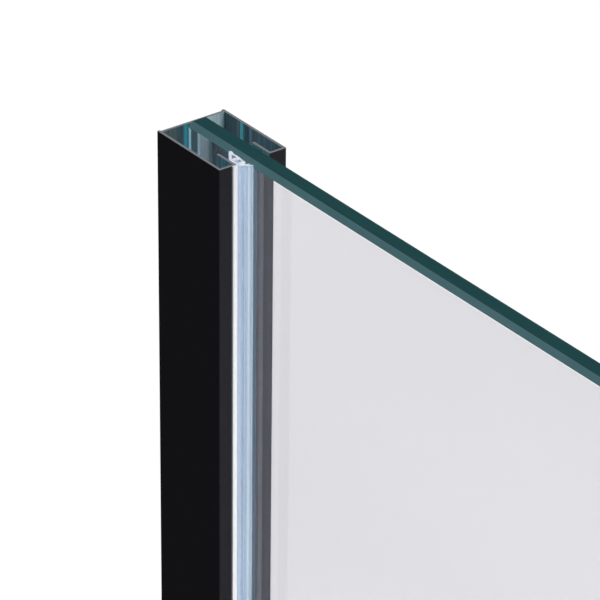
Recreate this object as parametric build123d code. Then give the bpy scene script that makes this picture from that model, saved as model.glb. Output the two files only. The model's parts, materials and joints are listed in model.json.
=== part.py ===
from build123d import *
from math import cos, radians, sin
import os

# Millimetres. X runs from the wall out along the glass, Y across the glass, Z up.
# The origin is on the wall, at the tray, on the centreline of the wall profile.

# Wall profile, an extruded aluminium channel
profile_height = 2000.0
profile_width = 25.0
profile_depth = 32.0
profile_wall = 0.9
nib_depth = 0.6
leg_depth = 9.0
profile_corner_radius = 0.3
web_hole_diameter = 4.5
web_countersink_depth = 0.55
web_hole_count = 4
web_hole_end_distance = 100.0

# Toughened glass pane
glass_width = 990.0
glass_thickness = 8.0
glass_proud = 0.6
arris = 1.6
glass_corner_radius = 3.0
glass_end_gap = 0.5
far_gap = 0.35
seal_gap = 3.95

# Wedge gasket, a clear PVC extrusion pressed in between the near leg and the glass
seal_clearance = 0.05
seal_skin = 0.75
seal_rib = 1.6
seal_lap = 1.7
seal_reach = 3.4
seal_leg_contact = 3.9
seal_depth = 8.4
seal_nose_radius = 0.25

# Setting blocks that carry the pane on the tray
block_height = 5.0
wall_block_length = 20.0
wall_block_start = 8.0
free_block_length = 60.0
free_block_from_edge = 60.0
block_groove = 1.5

# Glass clamp on the pane's top edge
clamp_from_wall = 640.0
clamp_length = 44.0
clamp_width = 30.0
clamp_grip = 26.0
clamp_back_wall = 4.0
clamp_edge_radius = 2.5
fitting_chamfer = 0.6
liner_thickness = 1.0
pressure_plate_thickness = 1.5
pressure_plate_margin = 2.0
clamp_screw_diameter = 6.0
clamp_screw_spacing = 22.0
clamp_screw_recess = 0.5

# Swivel joints at both ends of the brace
cheek_thickness = 5.4
tongue_thickness = 8.0
washer_thickness = 0.5
washer_diameter = 12.0
swivel_clearance = 0.1
pin_diameter = 6.0
pin_running_clearance = 0.05
pin_head_diameter = 10.5
pin_head_height = 2.6
pin_head_clearance = 0.25
pin_head_chamfer = 0.4
pin_key_size = 4.0
pin_socket_depth = 1.8
pin_end_recess = 1.0
bush_wall = 1.45

# Socket set screws: the key and the socket's depth as shares of the diameter and the length
set_screw_key = 0.5
set_screw_socket = 0.4

# Telescopic brace of square tube
brace_angle = 45.0
outer_tube_size = 20.0
outer_tube_wall = 1.5
outer_tube_length = 540.0
inner_tube_wall = 1.4
tube_corner_radius = 1.2
telescope_clearance = 0.3
tube_overlap = 200.0
tube_start = 32.0
shoulder_length = 4.0
plug_length = 25.0
plug_clearance = 0.05
fitting_screw_diameter = 4.0
fitting_screw_distance = 12.0

# Collar on the mouth of the outer tube, and the glide on the inner tube's hidden end
collar_wall = 2.5
collar_grip = 14.0
collar_throat = 18.0
collar_chamfer = 0.8
lock_screw_diameter = 5.0
lock_screw_gap = 0.3
glide_clearance = 0.1
glide_thickness = 3.0
glide_plug_length = 15.0
glide_chamfer = 0.8

# Wall flange of the brace
flange_size = 50.0
flange_thickness = 5.0
flange_corner_radius = 3.0
flange_pin_from_wall = 24.0
flange_cheek_width = 24.0
flange_hole_diameter = 5.0
flange_hole_spacing = 35.0
flange_countersink_depth = 2.2
cover_wall = 1.5
cover_room = 1.5
cover_window_clearance = 0.5
cover_chamfer = 0.8

# Places that follow from the sizes above
mouth_width = far_gap + glass_thickness + seal_gap
web_front = nib_depth + profile_wall
glass_start = web_front + glass_end_gap
glass_end = glass_start + glass_width
glass_far_y = mouth_width / 2 - far_gap
glass_near_y = glass_far_y - glass_thickness
glass_mid_y = (glass_far_y + glass_near_y) / 2
glass_top = profile_height + glass_proud
slot_height = tongue_thickness + 2 * (washer_thickness + swivel_clearance)
swivel_height = 2 * cheek_thickness + slot_height
clamp_base_z = glass_top + liner_thickness
brace_z = clamp_base_z + swivel_height / 2
inner_tube_size = outer_tube_size - 2 * (outer_tube_wall + telescope_clearance)
brace_length = (clamp_from_wall - flange_pin_from_wall) / sin(radians(brace_angle))
flange_y = glass_mid_y + brace_length * cos(radians(brace_angle))
outer_tube_end = tube_start + outer_tube_length
inner_tube_start = outer_tube_end - tube_overlap
inner_tube_end = brace_length - tube_start
clamp_swivel = Pos(clamp_from_wall, glass_mid_y, brace_z)
flange_swivel = Pos(flange_pin_from_wall, flange_y, brace_z)
along_brace = clamp_swivel * Rot(0, 0, 90 + brace_angle)
back_along_brace = flange_swivel * Rot(0, 0, brace_angle - 90)

BASE = (Align.CENTER, Align.CENTER, Align.MIN)
END_ON_X = (Align.MIN, Align.CENTER, Align.CENTER)
TOP = (Align.CENTER, Align.CENTER, Align.MAX)


def strip(x0, x1, y0, y1):
    """A rectangle between two corners."""
    return Pos((x0 + x1) / 2, (y0 + y1) / 2) * Rectangle(abs(x1 - x0), abs(y1 - y0))


def countersunk_hole(diameter, thickness, depth):
    """The space of a countersunk hole that runs down from z = 0, its wide end on top."""
    radius = diameter / 2
    hole = Cylinder(radius, thickness, align=TOP)
    return hole + Pos(0, 0, -depth) * Cone(radius, radius + depth, depth, align=BASE)


def set_screw(diameter, length):
    """A socket set screw that points down from z = 0, with a hexagon socket and a flat tip."""
    screw = Cylinder(diameter / 2, length, align=TOP)
    key = RegularPolygon(diameter * set_screw_key / 2, 6, major_radius=False)
    socket = extrude(key, -length * set_screw_socket)
    return screw - socket


def square_tube(size, wall, start, end):
    """A square tube along X with rounded outer corners."""
    outside = RectangleRounded(size, size, tube_corner_radius)
    inside = Rectangle(size - 2 * wall, size - 2 * wall)
    return extrude(Plane.YZ.offset(start) * (outside - inside), end - start)


# Wall profile

def profile_section():
    """The channel: two side walls, a web set in from the wall, and two lips with return legs."""
    half = profile_width / 2
    half_mouth = mouth_width / 2
    section = strip(nib_depth, web_front, -half, half)
    for side in (-1, 1):
        section += strip(0, profile_depth, side * half, side * (half - profile_wall))
        section += strip(profile_depth - profile_wall, profile_depth, side * half, side * half_mouth)
        section += strip(
            profile_depth - leg_depth, profile_depth,
            side * (half_mouth + profile_wall), side * half_mouth,
        )
    corners = section.vertices().group_by(Axis.X)[-1].sort_by(Axis.Y)
    return fillet([corners[0], corners[-1]], profile_corner_radius)


def wall_profile():
    body = extrude(profile_section(), profile_height)
    pitch = (profile_height - 2 * web_hole_end_distance) / (web_hole_count - 1)
    hole = countersunk_hole(web_hole_diameter, profile_wall, web_countersink_depth)
    for i in range(web_hole_count):
        body -= Pos(web_front, 0, web_hole_end_distance + i * pitch) * Rot(0, 90, 0) * hole
    return body


# Wedge gasket

def gasket_section():
    """The gasket in its own plane: x out from the lip's face, y from the leg towards the glass."""
    touch = seal_gap - seal_clearance
    leg = -seal_leg_contact
    nose = -seal_depth
    outline = make_face(Polyline(
        (0, -seal_lap), (seal_skin, -seal_lap), (seal_skin, -0.2),
        # front flange, slanting out to the glass
        (seal_reach, touch - 0.5), (seal_reach - 0.1, touch), (seal_reach - 0.55, touch - 0.35),
        # small fin behind the flange, then the notch
        (1.95, touch - 1.0), (1.75, touch - 0.2), (1.45, touch - 1.15), (1.1, touch - 1.8),
        # back of the wedge along the glass, ending in a hooked nose
        (0.4, touch - 0.8), (leg, touch - 0.3), (nose + 1.8, touch - 0.4), (nose + 1.3, touch),
        (nose + 0.2, touch), (nose, touch - 0.6),
        # down to the leg, and forward along it
        (nose + 1.2, touch - 1.6), (leg, 0), (0, 0), close=True,
    ))
    front_cell = make_face(Polyline(
        (-seal_skin, seal_skin), (leg + seal_rib, seal_skin),
        (leg + seal_rib, touch - 0.5 - seal_skin), (-seal_skin, touch - 0.7 - seal_skin), close=True,
    ))
    deep_cell = make_face(Polyline(
        (leg, seal_skin + 0.35), (nose + 2.2, touch - 0.5 - seal_skin),
        (nose + 2.5, touch - 0.4 - seal_skin), (leg, touch - 0.35 - seal_skin), close=True,
    ))
    tips = outline.vertices().group_by(Axis.Y)[-1]
    outline = fillet(tips, seal_nose_radius * 0.4)
    nose_corners = outline.vertices().group_by(Axis.X)[0]
    outline = fillet(nose_corners, seal_nose_radius)
    return outline - front_cell - deep_cell


def wedge_gasket():
    return Pos(profile_depth, -mouth_width / 2) * extrude(gasket_section(), profile_height)


# Glass

def glass_panel():
    """The pane, with its two free corners eased and a ground arris round both faces."""
    height = glass_top - block_height
    outline = Plane.XZ.offset(-glass_far_y) * Pos(
        (glass_start + glass_end) / 2, (block_height + glass_top) / 2
    ) * Rectangle(glass_width, height)
    pane = extrude(outline, glass_thickness)
    free_corners = pane.edges().filter_by(Axis.Y).group_by(Axis.X)[-1]
    pane = fillet(free_corners, glass_corner_radius)
    faces = pane.faces().filter_by(Axis.Y)
    return chamfer(faces.edges(), arris)


def setting_block(length):
    """A block under the pane, from x = 0, grooved underneath so that water can pass."""
    block = Box(length, glass_thickness, block_height, align=(Align.MIN, Align.CENTER, Align.MIN))
    groove = Box(block_groove * 2, glass_thickness, block_groove, align=BASE)
    for share in (0.3, 0.7):
        block -= Pos(length * share, 0, 0) * groove
    return block


def setting_block_wall():
    return Pos(wall_block_start, glass_mid_y, 0) * setting_block(wall_block_length)


def setting_block_free():
    start = glass_end - free_block_from_edge - free_block_length
    return Pos(start, glass_mid_y, 0) * setting_block(free_block_length)


# Swivel pieces, in a frame on the swivel's axis with z = 0 at the middle of the slot

def pin_hole():
    """The space of the pivot screw through both cheeks, with the counterbore for its head."""
    top = swivel_height / 2
    depth = pin_head_height + pin_head_clearance
    head = Cylinder(pin_head_diameter / 2 + pin_head_clearance, depth, align=TOP)
    return Cylinder(pin_diameter / 2, swivel_height) + Pos(0, 0, top) * head


def pivot_pin():
    """A shoulder screw with a low chamfered head and a hexagon socket."""
    top = swivel_height / 2 - pin_head_clearance
    seat = top - pin_head_height
    bottom = pin_end_recess - swivel_height / 2
    head = Pos(0, 0, seat) * Cylinder(pin_head_diameter / 2, pin_head_height, align=BASE)
    head = chamfer(head.edges().group_by(Axis.Z)[-1], pin_head_chamfer)
    shank = Pos(0, 0, bottom) * Cylinder(pin_diameter / 2, seat - bottom, align=BASE)
    socket = extrude(RegularPolygon(pin_key_size / 2, 6, major_radius=False), -pin_socket_depth)
    return head + shank - Pos(0, 0, top) * socket


def washers():
    """The two slip washers, one on each cheek."""
    ring = extrude(
        Circle(washer_diameter / 2) - Circle(pin_diameter / 2 + swivel_clearance), washer_thickness
    )
    top = slot_height / 2 - washer_thickness
    return [Pos(0, 0, top) * ring, Pos(0, 0, -slot_height / 2) * ring]


def eye_bush():
    """The plastic bush in a tongue's eye."""
    bore = pin_diameter / 2 + pin_running_clearance
    ring = Circle(bore + bush_wall) - Circle(bore)
    return Pos(0, 0, -tongue_thickness / 2) * extrude(ring, tongue_thickness)


def end_fitting(tube_size, tube_wall):
    """A tongue with an eye, a shoulder that the tube butts against, and the plug inside the tube."""
    half = tube_size / 2
    plan = Circle(half) + strip(0, tube_start - shoulder_length, -half, half)
    tongue = extrude(plan, tongue_thickness / 2, both=True)
    shoulder_face = Plane.YZ.offset(tube_start - shoulder_length) * RectangleRounded(
        tube_size, tube_size, tube_corner_radius
    )
    plug_size = tube_size - 2 * (tube_wall + plug_clearance)
    plug = Pos(tube_start, 0, 0) * Box(plug_length, plug_size, plug_size, align=END_ON_X)
    eye = Cylinder(pin_diameter / 2 + pin_running_clearance + bush_wall, tongue_thickness)
    screw_hole = Pos(tube_start + fitting_screw_distance, 0, 0) * Cylinder(
        fitting_screw_diameter / 2, tube_size / 2, align=TOP
    )
    return tongue + extrude(shoulder_face, shoulder_length) + plug - eye - screw_hole


def fitting_screw(tube_size):
    """The set screw that holds a fitting in its tube, driven from below."""
    place = Pos(tube_start + fitting_screw_distance, 0, -tube_size / 2) * Rot(180, 0, 0)
    return place * set_screw(fitting_screw_diameter, tube_size / 2)


def fitting_screw_hole(tube_size, tube_wall):
    """The hole for that screw in the tube's underside."""
    return Pos(tube_start + fitting_screw_distance, 0, -tube_size / 2) * Cylinder(
        fitting_screw_diameter / 2, tube_wall, align=BASE
    )


# Glass clamp

def clamp_body():
    """The clamp: a slot below for the pane, and a slot above, open on three sides, for the brace."""
    bottom = glass_top - clamp_grip
    height = clamp_base_z + swivel_height - bottom
    body = Pos(clamp_from_wall, glass_mid_y, bottom) * Box(
        clamp_length, clamp_width, height, align=BASE
    )
    body = fillet(body.edges().filter_by(Axis.Z), clamp_edge_radius)
    body = chamfer(body.edges().group_by(Axis.Z)[-1], fitting_chamfer)
    near = glass_near_y - liner_thickness
    far = glass_far_y + liner_thickness + pressure_plate_thickness
    pane_slot = Pos(clamp_from_wall, (near + far) / 2, bottom) * Box(
        clamp_length, far - near, clamp_base_z - bottom, align=BASE
    )
    tongue_slot = Pos(0, clamp_back_wall, 0) * Box(clamp_length, clamp_width, slot_height)
    body -= pane_slot
    body -= clamp_swivel * (tongue_slot + pin_hole())
    for screw in clamp_screw_places():
        body -= screw * Cylinder(clamp_screw_diameter / 2, clamp_width / 2, align=TOP)
    return body


def clamp_screw_places():
    """Where the clamp's set screws start, on its far face, each pointing at the pane."""
    z = glass_top - clamp_grip / 2
    y = glass_mid_y + clamp_width / 2
    return [
        Pos(clamp_from_wall + side * clamp_screw_spacing / 2, y, z) * Rot(-90, 0, 0)
        for side in (-1, 1)
    ]


def clamp_liner():
    """The soft liner folded over the pane's top edge inside the clamp."""
    bottom = glass_top - clamp_grip
    width = glass_thickness + 2 * liner_thickness
    outside = Pos(clamp_from_wall, glass_mid_y, bottom) * Box(
        clamp_length, width, clamp_grip + liner_thickness, align=BASE
    )
    inside = Pos(clamp_from_wall, glass_mid_y, bottom) * Box(
        clamp_length, glass_thickness, clamp_grip, align=BASE
    )
    return outside - inside


def clamp_pressure_plate():
    """The steel plate that spreads the set screws' load over the pane."""
    y = glass_far_y + liner_thickness + pressure_plate_thickness / 2
    height = clamp_grip - 2 * pressure_plate_margin
    plate = Box(clamp_length - 2 * pressure_plate_margin, pressure_plate_thickness, height)
    return Pos(clamp_from_wall, y, glass_top - clamp_grip / 2) * plate


def clamp_grub_screws():
    far = glass_far_y + liner_thickness + pressure_plate_thickness
    length = glass_mid_y + clamp_width / 2 - far - clamp_screw_recess
    screw = Pos(0, 0, -clamp_screw_recess) * set_screw(clamp_screw_diameter, length)
    return [place * screw for place in clamp_screw_places()]


# Brace

def outer_tube():
    tube = square_tube(outer_tube_size, outer_tube_wall, tube_start, outer_tube_end)
    return along_brace * (tube - fitting_screw_hole(outer_tube_size, outer_tube_wall))


def inner_tube():
    """The inner tube, written from the clamp's swivel, its screw hole from the flange's."""
    tube = along_brace * square_tube(
        inner_tube_size, inner_tube_wall, inner_tube_start, inner_tube_end
    )
    return tube - back_along_brace * fitting_screw_hole(inner_tube_size, inner_tube_wall)


def tube_collar():
    """The collar that closes the outer tube's mouth and guides the inner tube."""
    start = outer_tube_end - collar_grip
    outside = outer_tube_size + 2 * collar_wall
    throat = inner_tube_size + 2 * telescope_clearance
    length = collar_grip + collar_throat
    section = Plane.YZ.offset(start) * RectangleRounded(
        outside, outside, tube_corner_radius + collar_wall
    )
    body = extrude(section, length)
    body = chamfer(body.edges().group_by(Axis.X)[-1], collar_chamfer)
    body = chamfer(body.edges().group_by(Axis.X)[0], collar_chamfer)
    tube_room = RectangleRounded(outer_tube_size, outer_tube_size, tube_corner_radius)
    body -= extrude(Plane.YZ.offset(start) * tube_room, collar_grip)
    body -= Pos(start, 0, 0) * Box(length, throat, throat, align=END_ON_X)
    body -= lock_screw_place() * Cylinder(lock_screw_diameter / 2, outside / 2, align=TOP)
    return along_brace * body


def lock_screw_place():
    """Where the lock screw starts, on the collar's underside, pointing up at the inner tube."""
    outside = outer_tube_size / 2 + collar_wall
    return Pos(outer_tube_end + collar_throat / 2, 0, -outside) * Rot(180, 0, 0)


def collar_lock_screw():
    length = outer_tube_size / 2 + collar_wall - inner_tube_size / 2 - lock_screw_gap
    return along_brace * lock_screw_place() * set_screw(lock_screw_diameter, length)


def inner_tube_glide():
    """The plastic glide in the inner tube's hidden end."""
    size = inner_tube_size + 2 * (telescope_clearance - glide_clearance)
    stub = inner_tube_size - 2 * (inner_tube_wall + plug_clearance)
    head = Pos(inner_tube_start - glide_thickness, 0, 0) * Box(
        glide_thickness, size, size, align=END_ON_X
    )
    head = chamfer(head.edges().group_by(Axis.X)[0], glide_chamfer)
    plug = Pos(inner_tube_start, 0, 0) * Box(glide_plug_length, stub, stub, align=END_ON_X)
    return along_brace * (head + plug)


# Wall flange

def wall_flange():
    """The flange: a plate with two countersunk holes, and a clevis for the brace's tongue."""
    plate = extrude(
        Plane.YZ * RectangleRounded(flange_size, flange_size, flange_corner_radius),
        flange_thickness,
    )
    for side in (-1, 1):
        plate -= Pos(flange_thickness, 0, side * flange_hole_spacing / 2) * Rot(0, 90, 0) * (
            countersunk_hole(flange_hole_diameter, flange_thickness, flange_countersink_depth)
        )
    half = flange_cheek_width / 2
    reach = flange_pin_from_wall - flange_thickness
    cheeks = extrude(Circle(half) + strip(-reach, 0, -half, half), swivel_height / 2, both=True)
    top_edges = cheeks.edges().group_by(Axis.Z)[-1]
    cheeks = chamfer(top_edges.filter_by(GeomType.CIRCLE), fitting_chamfer)
    slot = Pos(-reach, 0, 0) * Box(
        reach + half, flange_cheek_width, slot_height, align=END_ON_X
    )
    cheeks -= slot + pin_hole()
    return Pos(0, flange_y, brace_z) * plate + flange_swivel * cheeks


def flange_cover():
    """The cover that slips over the clevis and hides the flange plate and its screws."""
    depth = flange_thickness + cover_room + cover_wall
    outside = extrude(
        Plane.YZ * RectangleRounded(
            flange_size + 2 * cover_wall, flange_size + 2 * cover_wall,
            flange_corner_radius + cover_wall,
        ),
        depth,
    )
    outside = chamfer(outside.edges().group_by(Axis.X)[-1], cover_chamfer)
    inside = extrude(
        Plane.YZ * RectangleRounded(flange_size, flange_size, flange_corner_radius),
        depth - cover_wall,
    )
    window = Box(
        depth, flange_cheek_width + 2 * cover_window_clearance,
        swivel_height + 2 * cover_window_clearance, align=END_ON_X,
    )
    return Pos(0, flange_y, brace_z) * (outside - inside - window)


def on_clamp_swivel(piece):
    return clamp_swivel * piece


def on_flange_swivel(piece):
    return flange_swivel * piece


pieces = {
    "wall_profile": wall_profile(),
    "wedge_gasket": wedge_gasket(),
    "glass_panel": glass_panel(),
    "setting_block_wall": setting_block_wall(),
    "setting_block_free": setting_block_free(),
    "clamp_body": clamp_body(),
    "clamp_liner": clamp_liner(),
    "clamp_pressure_plate": clamp_pressure_plate(),
    "clamp_grub_screws": clamp_grub_screws(),
    "clamp_pivot_pin": on_clamp_swivel(pivot_pin()),
    "clamp_pivot_washers": [on_clamp_swivel(ring) for ring in washers()],
    "clamp_end_fitting": along_brace * end_fitting(outer_tube_size, outer_tube_wall),
    "clamp_end_bush": along_brace * eye_bush(),
    "clamp_end_screw": along_brace * fitting_screw(outer_tube_size),
    "outer_tube": outer_tube(),
    "tube_collar": tube_collar(),
    "collar_lock_screw": collar_lock_screw(),
    "inner_tube": inner_tube(),
    "inner_tube_glide": inner_tube_glide(),
    "flange_end_fitting": back_along_brace * end_fitting(inner_tube_size, inner_tube_wall),
    "flange_end_bush": back_along_brace * eye_bush(),
    "flange_end_screw": back_along_brace * fitting_screw(inner_tube_size),
    "wall_flange": wall_flange(),
    "flange_cover": flange_cover(),
    "flange_pivot_pin": on_flange_swivel(pivot_pin()),
    "flange_pivot_washers": [on_flange_swivel(ring) for ring in washers()],
}

os.makedirs("parts", exist_ok=True)
for name, piece in pieces.items():
    shape = Compound(children=piece) if isinstance(piece, list) else piece
    export_step(shape, f"parts/{name}.step")
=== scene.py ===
import bmesh
import bpy
import json
from math import cos, pi, radians, sin
from mathutils import Matrix, Vector


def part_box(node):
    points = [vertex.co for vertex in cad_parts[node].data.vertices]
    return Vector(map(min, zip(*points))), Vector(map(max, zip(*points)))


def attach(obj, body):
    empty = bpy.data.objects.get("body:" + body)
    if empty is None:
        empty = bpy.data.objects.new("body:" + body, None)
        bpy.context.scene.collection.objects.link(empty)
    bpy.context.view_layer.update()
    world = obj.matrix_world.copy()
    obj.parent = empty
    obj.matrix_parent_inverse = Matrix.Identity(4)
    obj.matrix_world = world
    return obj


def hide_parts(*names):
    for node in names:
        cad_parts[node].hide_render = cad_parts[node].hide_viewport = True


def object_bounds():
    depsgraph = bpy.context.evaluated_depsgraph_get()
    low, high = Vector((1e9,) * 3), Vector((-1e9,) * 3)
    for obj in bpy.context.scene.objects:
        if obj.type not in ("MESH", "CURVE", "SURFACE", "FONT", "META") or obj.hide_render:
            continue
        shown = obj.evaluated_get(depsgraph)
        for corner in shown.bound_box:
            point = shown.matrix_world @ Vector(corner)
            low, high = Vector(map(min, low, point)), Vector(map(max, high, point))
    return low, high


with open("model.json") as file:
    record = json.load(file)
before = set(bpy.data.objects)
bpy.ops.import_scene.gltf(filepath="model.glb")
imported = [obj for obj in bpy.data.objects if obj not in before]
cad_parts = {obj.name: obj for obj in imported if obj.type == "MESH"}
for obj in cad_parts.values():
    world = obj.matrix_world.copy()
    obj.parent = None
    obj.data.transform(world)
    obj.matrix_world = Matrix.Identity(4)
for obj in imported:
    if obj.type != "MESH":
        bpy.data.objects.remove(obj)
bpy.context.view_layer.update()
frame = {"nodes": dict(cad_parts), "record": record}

# Metres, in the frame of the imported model: X out from the wall along the pane, Y across it, Z up.

nodes = frame["nodes"]

# Camera, as fitted to the photo: the top corner of the wall profile is its anchor
FRAME_PIXELS = 600
FOCAL_PIXELS = 4069
SENSOR_MM = 36
ANCHOR_PIXEL = (157.3, 130.9)
CAMERA_DISTANCE = 1.235
CAMERA_AZIMUTH = radians(52.61)
CAMERA_ELEVATION = radians(29.52)
CAMERA_ROLL = radians(0.61)
CAMERA_REACH = 100

# Profile: its box is read off the frame. Its wall, its web's front face and how far the gasket laps over its
# lip repeat the model's sizes
profile_low, profile_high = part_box("wall_profile")
PROFILE_WALL = 0.0009
WEB_FRONT = 0.0015
GASKET_LAP = 0.0017

# A face lies on a plane within this distance, and is square to an axis above this part of its normal
TOLERANCE = 0.0001
SQUARE_ON = 0.9

# Painted reflections inside the channel: tones that stand in for the reflections of the pane's edges and of
# the white surroundings on its bright inside
SLATE = (0.115, 0.163, 0.172)
DEEP_SLATE = (0.066, 0.12, 0.145)
TEAL = (0.041, 0.25, 0.3)
GREY = (0.34, 0.47, 0.52)
PALE = (0.6, 0.76, 0.81)
BRIGHT_TEAL = (0.13, 0.54, 0.6)
DUSK = (0.12, 0.22, 0.27)
BLUE_GREY = (0.25, 0.43, 0.51)

# Where the painted reflections lie, in metres: along Y on the web, and along X on the side walls, lips and
# legs
WEB_PAINTED_REFLECTIONS = (
    (-0.0116, SLATE), (-0.0075, SLATE), (-0.0055, DEEP_SLATE), (-0.0038, DEEP_SLATE), (-0.0035, TEAL),
    (-0.0019, TEAL), (-0.0015, SLATE), (0.0, GREY), (0.004, PALE), (0.0085, PALE), (0.0116, BLUE_GREY),
)
SIDE_PAINTED_REFLECTIONS = (
    (0.0015, SLATE), (0.003, DEEP_SLATE), (0.0095, DEEP_SLATE), (0.0099, BRIGHT_TEAL),
    (0.0118, BRIGHT_TEAL), (0.0122, DUSK), (0.018, GREY), (0.02, BLUE_GREY), (0.0311, BLUE_GREY),
)

# Painted reflections across the gasket, bright and dark bands that stand in for light in its clear plastic,
# from its flange to the glass: a share of its width and a colour
GASKET_PAINTED_REFLECTIONS = (
    (0.0, (0.96, 0.98, 1.0)),
    (0.3, (0.94, 0.97, 1.0)),
    (0.44, (0.56, 0.68, 0.88)),
    (0.66, (0.77, 0.89, 1.0)),
    (0.86, (0.8, 0.9, 1.0)),
    (0.95, (0.62, 0.73, 0.86)),
    (1.0, (0.72, 0.83, 0.92)),
)

# Pane: its ground arris, the painted glint line beside it, and the painted glowing strip down its hidden
# near corner
ARRIS = 0.0016
GLINT = 0.0003
GLOW_STRIP = 0.0012
GLASS_IOR = 1.52
CORNER_RADIUS = 0.003
CORNER_STEPS = 8

# Light: each lamp has an azimuth and an elevation in degrees, a strength, and a spread in degrees
AMBIENT = 0.2
FLOOR_SIZE = 80
FLOOR_TONE = 0.8
FLOOR_GLOW = 0.17
FLOOR_BOUNCE = 0.3
LAMPS = {"key": (95, 45, 3.0, 30), "fill": (215, 35, 1.0, 40)}
LAMP_DISTANCE = 5

# Streaks run along the extrusions, and a colour Mix node's sockets go by number
ALONG_Z = (1, 1, 0.02)
MIX_FACTOR, MIX_A, MIX_B, MIX_RESULT = 0, 6, 7, 2


def make_camera():
    """The photo's camera: its axes from azimuth, elevation and roll, its place from the anchor's pixel."""
    back = Vector((
        sin(CAMERA_AZIMUTH) * cos(CAMERA_ELEVATION),
        -cos(CAMERA_AZIMUTH) * cos(CAMERA_ELEVATION),
        sin(CAMERA_ELEVATION),
    ))
    right = Vector((cos(CAMERA_AZIMUTH), sin(CAMERA_AZIMUTH), 0))
    up = back.cross(right)
    rolled_right = right * cos(CAMERA_ROLL) + up * sin(CAMERA_ROLL)
    rolled_up = up * cos(CAMERA_ROLL) - right * sin(CAMERA_ROLL)
    per_pixel = CAMERA_DISTANCE / FOCAL_PIXELS
    anchor = Vector((profile_low.x, profile_low.y, profile_high.z))
    across = (ANCHOR_PIXEL[0] - FRAME_PIXELS / 2) * per_pixel
    above = (FRAME_PIXELS / 2 - ANCHOR_PIXEL[1]) * per_pixel
    place = anchor - rolled_right * across - rolled_up * above + back * CAMERA_DISTANCE
    data = bpy.data.cameras.new("camera")
    data.sensor_width = SENSOR_MM
    data.lens = FOCAL_PIXELS / FRAME_PIXELS * SENSOR_MM
    data.clip_end = CAMERA_REACH
    camera = bpy.data.objects.new("camera", data)
    axes = Matrix((rolled_right, rolled_up, back)).transposed()
    camera.matrix_world = Matrix.Translation(place) @ axes.to_4x4()
    bpy.context.scene.collection.objects.link(camera)
    bpy.context.scene.camera = camera


# Node helpers

def add(tree, kind, **settings):
    """A shader node with its inputs, or its own properties, set by name."""
    node = tree.nodes.new(kind)
    for name, value in settings.items():
        socket = node.inputs.get(name.replace("_", " "))
        if socket is None:
            setattr(node, name, value)
        elif isinstance(value, bpy.types.NodeSocket):
            tree.links.new(value, socket)
        else:
            socket.default_value = value
    return node


def principled(name, **settings):
    """A new material and its Principled shader, with sockets set by name."""
    material = bpy.data.materials.new(name)
    material.use_nodes = True
    tree = material.node_tree
    shader = tree.nodes["Principled BSDF"]
    for key, value in settings.items():
        shader.inputs[key.replace("_", " ")].default_value = value
    return material, tree, shader


def object_noise(tree, grain, stretch=(1, 1, 1), detail=3):
    """Noise in the piece's own space, with its grain size in metres."""
    place = add(tree, "ShaderNodeTexCoord").outputs["Object"]
    mapped = add(tree, "ShaderNodeMapping", Vector=place, Scale=stretch).outputs[0]
    noise = add(tree, "ShaderNodeTexNoise", Vector=mapped, Scale=1 / grain, Detail=detail)
    return noise.outputs[0]


def ramp(tree, factor, low, high):
    """Two colours or two numbers, blended by a factor."""
    if isinstance(low, tuple):
        mix = add(tree, "ShaderNodeMix", data_type="RGBA")
        tree.links.new(factor, mix.inputs[MIX_FACTOR])
        mix.inputs[MIX_A].default_value = (*low, 1)
        mix.inputs[MIX_B].default_value = (*high, 1)
        return mix.outputs[MIX_RESULT]
    span = add(tree, "ShaderNodeMapRange", Value=factor, To_Min=low, To_Max=high)
    return span.outputs[0]


def vary(tree, shader, colours, roughness, grain, stretch=(1, 1, 1), bump=0.0, relief=0.00002):
    """Colour, roughness and relief that wander with one noise."""
    noise = object_noise(tree, grain, stretch)
    tree.links.new(ramp(tree, noise, *colours), shader.inputs["Base Color"])
    tree.links.new(ramp(tree, noise, *roughness), shader.inputs["Roughness"])
    if bump:
        made = add(tree, "ShaderNodeBump", Strength=bump, Distance=relief, Height=noise)
        tree.links.new(made.outputs[0], shader.inputs["Normal"])


# Materials

def black_paint():
    """The channel's powder coat, with its fine orange peel."""
    material, tree, shader = principled("black_paint", Specular_IOR_Level=0.0)
    vary(
        tree, shader, ((0.018, 0.018, 0.021), (0.0245, 0.0245, 0.028)), (0.42, 0.5),
        grain=0.0006, bump=0.15,
    )
    return material


def tone_across(tree, axis, tones):
    """A colour that changes along one axis, through the tones given."""
    place = add(tree, "ShaderNodeTexCoord").outputs["Object"]
    along = add(tree, "ShaderNodeSeparateXYZ", Vector=place).outputs[axis]
    first, last = tones[0][0], tones[-1][0]
    share = add(tree, "ShaderNodeMapRange", Value=along, From_Min=first, From_Max=last).outputs[0]
    scale = add(tree, "ShaderNodeValToRGB", Fac=share)
    stops = scale.color_ramp.elements
    stops[0].color = (*tones[0][1], 1)
    stops[-1].color = (*tones[-1][1], 1)
    for where, colour in tones[1:-1]:
        stops.new((where - first) / (last - first)).color = (*colour, 1)
    return scale.outputs[0]


def streaked(tree, shader, axis, tones, grain, depth, roughness):
    """Tones of painted reflections across a drawn or extruded face, streaked along its length."""
    streaks = object_noise(tree, grain, ALONG_Z)
    mix = add(tree, "ShaderNodeMix", data_type="RGBA", blend_type="MULTIPLY")
    mix.inputs[MIX_FACTOR].default_value = 1
    tree.links.new(tone_across(tree, axis, tones), mix.inputs[MIX_A])
    tree.links.new(ramp(tree, streaks, 1 - depth, 1 + depth), mix.inputs[MIX_B])
    tree.links.new(mix.outputs[MIX_RESULT], shader.inputs["Base Color"])
    tree.links.new(ramp(tree, streaks, *roughness), shader.inputs["Roughness"])


def aluminium_with_painted_reflections(name, axis, tones):
    """The channel's inner faces: bright, with painted reflections as tones across them, and the streaks that
    the drawing die leaves along them.
    """
    material, tree, shader = principled(name, Metallic=0.45)
    streaked(tree, shader, axis, tones, 0.0009, 0.7, (0.03, 0.07))
    return material


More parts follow.
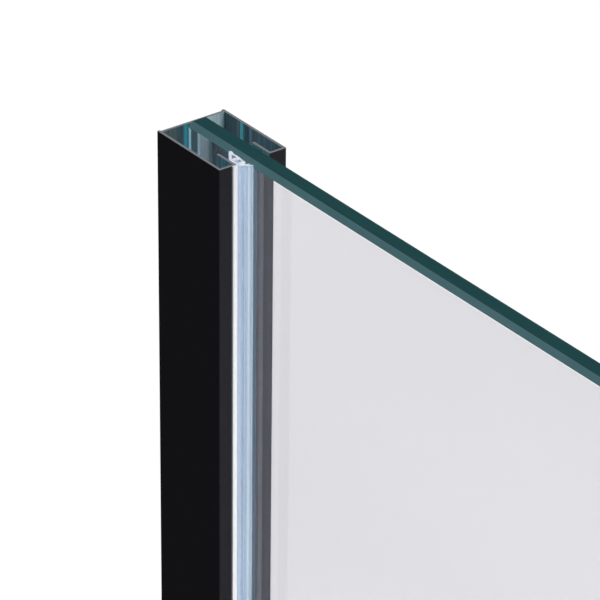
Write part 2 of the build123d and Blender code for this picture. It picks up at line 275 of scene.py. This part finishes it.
def sawn_aluminium():
    """The channel's bare cut ends, with the saw's marks across them."""
    material, tree, shader = principled("sawn_aluminium", Specular_IOR_Level=0.05)
    vary(
        tree, shader, ((0.1, 0.105, 0.12), (0.19, 0.2, 0.22)), (0.4, 0.6),
        grain=0.0004, stretch=(1, 0.15, 1), bump=0.4,
    )
    return material


def clear_pane():
    """Clear glass with a faint haze, its tone drifting softly over the pane."""
    material, tree, shader = principled(
        "clear_pane", Transmission_Weight=0.9, IOR=GLASS_IOR, Roughness=0.0,
    )
    drift = object_noise(tree, 0.12, detail=1)
    tone = ramp(tree, drift, (0.755, 0.747, 0.787), (0.84, 0.834, 0.874))
    tree.links.new(tone, shader.inputs["Base Color"])
    return material


def painted_glint_line():
    """The thin line beside the arris: a painted glint, glass tinted whiter than the pane."""
    material, _, _ = principled(
        "painted_glint_line", Transmission_Weight=1.0, IOR=GLASS_IOR, Roughness=0.0, Base_Color=(1, 1, 1, 1),
    )
    return material


def ground_edge(name, low, high):
    """Ground glass, between a darker and a lighter tone."""
    material, tree, shader = principled(name, Specular_IOR_Level=0.0)
    vary(tree, shader, (low, high), (0.25, 0.4), grain=0.004, stretch=(0.2, 1, 0.2), bump=0.05)
    return material


def painted_glow_corner():
    """The pane's hidden near corner: a pale strip with a painted highlight and a weak glow, though it is no
    lamp.
    """
    material = ground_edge("painted_glow_corner", (0.62, 0.82, 0.92), (0.78, 0.94, 1.0))
    shader = material.node_tree.nodes["Principled BSDF"]
    # Painted glow: a weak emission on the strip, which is no lamp
    shader.inputs["Emission Color"].default_value = (0.45, 0.8, 1.0, 1)
    shader.inputs["Emission Strength"].default_value = 0.25
    return material


def soft_pvc():
    """The gasket's clear, faintly blue plastic, with painted reflections as bands across it, streaked along
    its length.
    """
    material, tree, shader = principled("soft_pvc", Transmission_Weight=0.75, IOR=1.5)
    low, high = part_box("wedge_gasket")
    tones = [(low.y + share * (high.y - low.y), colour) for share, colour in GASKET_PAINTED_REFLECTIONS]
    streaked(tree, shader, "Y", tones, 0.0008, 0.22, (0.08, 0.16))
    return material


def pvc_rim():
    """The gasket's flange over the lip, painted near white as a highlight where the clear plastic gathers
    light.
    """
    material, tree, shader = principled(
        "pvc_rim", Subsurface_Weight=0.4, Subsurface_Scale=0.004, Specular_IOR_Level=0.3,
    )
    shader.inputs["Subsurface Radius"].default_value = (1, 1, 1)
    vary(tree, shader, ((0.88, 0.91, 0.97), (0.97, 0.98, 1.0)), (0.25, 0.4), grain=0.002, bump=0.05)
    return material


def pvc_cut():
    """The gasket's cut end, frosted unevenly by the knife."""
    material, tree, shader = principled(
        "pvc_cut", Subsurface_Weight=0.4, Subsurface_Scale=0.002, Specular_IOR_Level=0.3,
    )
    vary(tree, shader, ((0.06, 0.13, 0.28), (0.96, 0.98, 1.0)), (0.3, 0.5), grain=0.0009, bump=0.3)
    return material


def satin_black():
    material, tree, shader = principled("satin_black", Specular_IOR_Level=0.09)
    vary(
        tree, shader, ((0.018, 0.018, 0.02), (0.028, 0.028, 0.03)), (0.34, 0.44),
        grain=0.0008, bump=0.2,
    )
    return material


def steel():
    material, tree, shader = principled("steel", Metallic=1.0)
    vary(
        tree, shader, ((0.5, 0.5, 0.49), (0.66, 0.66, 0.64)), (0.22, 0.36),
        grain=0.0008, stretch=(0.1, 1, 1), bump=0.1,
    )
    return material


def black_steel():
    material, tree, shader = principled("black_steel", Metallic=0.7)
    vary(tree, shader, ((0.02, 0.02, 0.021), (0.05, 0.05, 0.052)), (0.3, 0.45), grain=0.0012, bump=0.1)
    return material


def natural_nylon():
    material, tree, shader = principled("natural_nylon", Subsurface_Weight=0.2, Subsurface_Scale=0.002)
    vary(tree, shader, ((0.7, 0.7, 0.64), (0.8, 0.8, 0.76)), (0.4, 0.55), grain=0.002, bump=0.05)
    return material


def black_moulding():
    material, tree, shader = principled("black_moulding")
    vary(tree, shader, ((0.018, 0.018, 0.018), (0.03, 0.03, 0.03)), (0.5, 0.62), grain=0.0007, bump=0.3)
    return material


def block_plastic():
    material, tree, shader = principled("block_plastic")
    vary(tree, shader, ((0.6, 0.61, 0.59), (0.74, 0.75, 0.73)), (0.45, 0.6), grain=0.003, bump=0.1)
    return material


BY_SLOT = {
    "black_profile": black_paint(),
    "clear_pvc": soft_pvc(),
    "black_fitting": satin_black(),
    "stainless": steel(),
    "black_oxide": black_steel(),
    "nylon": natural_nylon(),
    "black_plastic": black_moulding(),
    "block_plastic": block_plastic(),
}


def dress(name, material):
    """One material over a whole CAD node."""
    for slot in nodes[name].material_slots:
        slot.link = "OBJECT"
        slot.material = material


def dress_faces(name, material, chosen):
    """A further material on the faces of a CAD node that a test of centre and normal picks."""
    piece = nodes[name]
    piece.data.materials.append(material)
    index = len(piece.data.materials) - 1
    for face in piece.data.polygons:
        if chosen(face.center, face.normal):
            face.material_index = index


def dress_cad_nodes():
    for part in frame["record"]["subparts"]:
        if part["material_slot"] in BY_SLOT:
            dress(part["node"], BY_SLOT[part["material_slot"]])


def inside_channel(centre, normal):
    """True on the channel's inner faces: web front, side walls' inner sides, legs and lips' backs."""
    side = profile_high.y - PROFILE_WALL / 2
    front = profile_high.x - PROFILE_WALL / 2
    return abs(centre.y) < side and WEB_FRONT - TOLERANCE < centre.x < front and not cut_end(centre, normal)


def front_of_web(centre, normal):
    return abs(centre.x - WEB_FRONT) < TOLERANCE and normal.x > SQUARE_ON


def cut_end(centre, normal):
    return abs(normal.z) > SQUARE_ON


def over_lip(centre, normal):
    """True on the part of the gasket's flange that laps over the channel's lip."""
    return centre.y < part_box("wedge_gasket")[0].y + GASKET_LAP and centre.x > profile_high.x


# Pane

def make_pane():
    """The pane with its ground edge, arris and the painted glint line where the arris meets the face."""
    low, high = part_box("glass_panel")
    mesh = bmesh.new()

    def ring(inset, y, glow_strip=0):
        """The pane's outline, drawn in by inset: square at the wall, rounded at the free end."""
        x0, x1 = low.x + glow_strip, high.x - inset
        z0, z1 = low.z + inset, high.z - inset
        radius = CORNER_RADIUS - inset
        points = [(x0, z1), (x0, z0)]
        for corner, start in (((x1 - radius, z0 + radius), -pi / 2), ((x1 - radius, z1 - radius), 0)):
            for i in range(CORNER_STEPS + 1):
                angle = start + i / CORNER_STEPS * pi / 2
                points.append((corner[0] + radius * cos(angle), corner[1] + radius * sin(angle)))
        return [mesh.verts.new((x, y, z)) for x, z in points]

    near, far = low.y, high.y
    rings = [
        ring(ARRIS + GLINT, near, GLOW_STRIP), ring(ARRIS, near), ring(0, near + ARRIS),
        ring(0, far - ARRIS), ring(ARRIS, far), ring(ARRIS + GLINT, far, GLOW_STRIP),
    ]
    clear, edge, arris, glint, glow_strip, wall_edge = range(6)
    at_wall = {glint: glow_strip, arris: wall_edge, edge: wall_edge}
    mesh.faces.new(rings[0]).material_index = clear
    mesh.faces.new(list(reversed(rings[-1]))).material_index = clear
    for first, second, finish in zip(rings, rings[1:], (glint, arris, edge, arris, glint)):
        for i in range(len(first)):
            j = (i + 1) % len(first)
            face = mesh.faces.new((first[i], second[i], second[j], first[j]))
            face.material_index = finish if i else at_wall[finish]
    bmesh.ops.recalc_face_normals(mesh, faces=mesh.faces)
    data = bpy.data.meshes.new("glass_pane")
    mesh.to_mesh(data)
    pane = bpy.data.objects.new("glass_pane", data)
    bpy.context.scene.collection.objects.link(pane)
    for material in (
        clear_pane(),
        # Partly painted light: the teal is the glass's own colour, but the flat edge is painted darker and
        # the arris lighter, as painted shade and light
        ground_edge("flat_edge", (0.012, 0.048, 0.052), (0.018, 0.062, 0.068)),
        ground_edge("arris_edge", (0.068, 0.158, 0.176), (0.112, 0.225, 0.248)),
        painted_glint_line(),
        painted_glow_corner(),
        ground_edge("wall_edge", (0.042, 0.075, 0.094), (0.056, 0.098, 0.12)),
    ):
        data.materials.append(material)
    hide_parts("glass_panel")
    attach(pane, "pane")
    pane.visible_shadow = False


# Studio

def make_world():
    """White to the camera, to gloss and through glass, and a softer ambient light on everything else."""
    world = bpy.data.worlds.new("studio")
    world.use_nodes = True
    tree = world.node_tree
    tree.nodes.clear()
    shown = add(tree, "ShaderNodeBackground", Strength=1.0)
    shown.inputs[0].default_value = (1, 1, 1, 1)
    lights = add(tree, "ShaderNodeBackground", Strength=AMBIENT)
    lights.inputs[0].default_value = (1, 1, 1, 1)
    mix = add(tree, "ShaderNodeMixShader")
    tree.links.new(background_rays(tree), mix.inputs[0])
    tree.links.new(lights.outputs[0], mix.inputs[1])
    tree.links.new(shown.outputs[0], mix.inputs[2])
    out = add(tree, "ShaderNodeOutputWorld")
    tree.links.new(mix.outputs[0], out.inputs[0])
    bpy.context.scene.world = world


def background_rays(tree):
    """1 for the rays that show the background: camera, glossy and transmission rays."""
    path = add(tree, "ShaderNodeLightPath")
    either = add(tree, "ShaderNodeMath", operation="MAXIMUM")
    tree.links.new(path.outputs["Is Camera Ray"], either.inputs[0])
    tree.links.new(path.outputs["Is Glossy Ray"], either.inputs[1])
    every = add(tree, "ShaderNodeMath", operation="MAXIMUM")
    tree.links.new(either.outputs[0], every.inputs[0])
    tree.links.new(path.outputs["Is Transmission Ray"], every.inputs[1])
    return every.outputs[0]


def make_floor():
    """A pale floor that reads as white and keeps the shadow."""
    bpy.ops.mesh.primitive_plane_add(size=FLOOR_SIZE, location=(0, 0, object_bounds()[0].z))
    floor = bpy.context.object
    floor.name = "floor"
    material, tree, shader = principled("floor", Roughness=0.9, Specular_IOR_Level=0.0)
    shader.inputs["Base Color"].default_value = (FLOOR_TONE, FLOOR_TONE, FLOOR_TONE, 1)
    glow = add(tree, "ShaderNodeEmission", Strength=FLOOR_GLOW)
    both = add(tree, "ShaderNodeAddShader")
    tree.links.new(shader.outputs[0], both.inputs[0])
    tree.links.new(glow.outputs[0], both.inputs[1])
    bounce = add(tree, "ShaderNodeBsdfDiffuse")
    bounce.inputs[0].default_value = (FLOOR_BOUNCE, FLOOR_BOUNCE, FLOOR_BOUNCE, 1)
    mix = add(tree, "ShaderNodeMixShader")
    tree.links.new(background_rays(tree), mix.inputs[0])
    tree.links.new(bounce.outputs[0], mix.inputs[1])
    tree.links.new(both.outputs[0], mix.inputs[2])
    tree.links.new(mix.outputs[0], tree.nodes["Material Output"].inputs[0])
    floor.data.materials.append(material)


def make_lamp(name, azimuth, elevation, strength, spread):
    """A soft lamp far away, in the direction of an azimuth and an elevation, as the camera's are given."""
    data = bpy.data.lights.new(name, "SUN")
    data.energy = strength
    data.angle = radians(spread)
    lamp = bpy.data.objects.new(name, data)
    a, e = radians(azimuth), radians(elevation)
    towards = Vector((sin(a) * cos(e), -cos(a) * cos(e), sin(e)))
    lamp.rotation_mode = "QUATERNION"
    lamp.rotation_quaternion = towards.to_track_quat("Z", "Y")
    lamp.location = towards * LAMP_DISTANCE
    bpy.context.scene.collection.objects.link(lamp)


make_camera()
dress_cad_nodes()
# The channel's inner faces get painted reflections, as tones across the side walls and the web
dress_faces("wall_profile", aluminium_with_painted_reflections("channel_side", "X", SIDE_PAINTED_REFLECTIONS), inside_channel)
dress_faces("wall_profile", aluminium_with_painted_reflections("channel_web", "Y", WEB_PAINTED_REFLECTIONS), front_of_web)
dress_faces("wall_profile", sawn_aluminium(), cut_end)
# The flange over the lip gets a painted highlight, a near-white copy of the clear plastic
dress_faces("wedge_gasket", pvc_rim(), over_lip)
dress_faces("wedge_gasket", pvc_cut(), cut_end)
make_pane()
nodes["wedge_gasket"].visible_shadow = False
make_world()
make_floor()
for lamp_name, lamp_settings in LAMPS.items():
    make_lamp(lamp_name, *lamp_settings)

bpy.context.scene.view_settings.view_transform = "Standard"
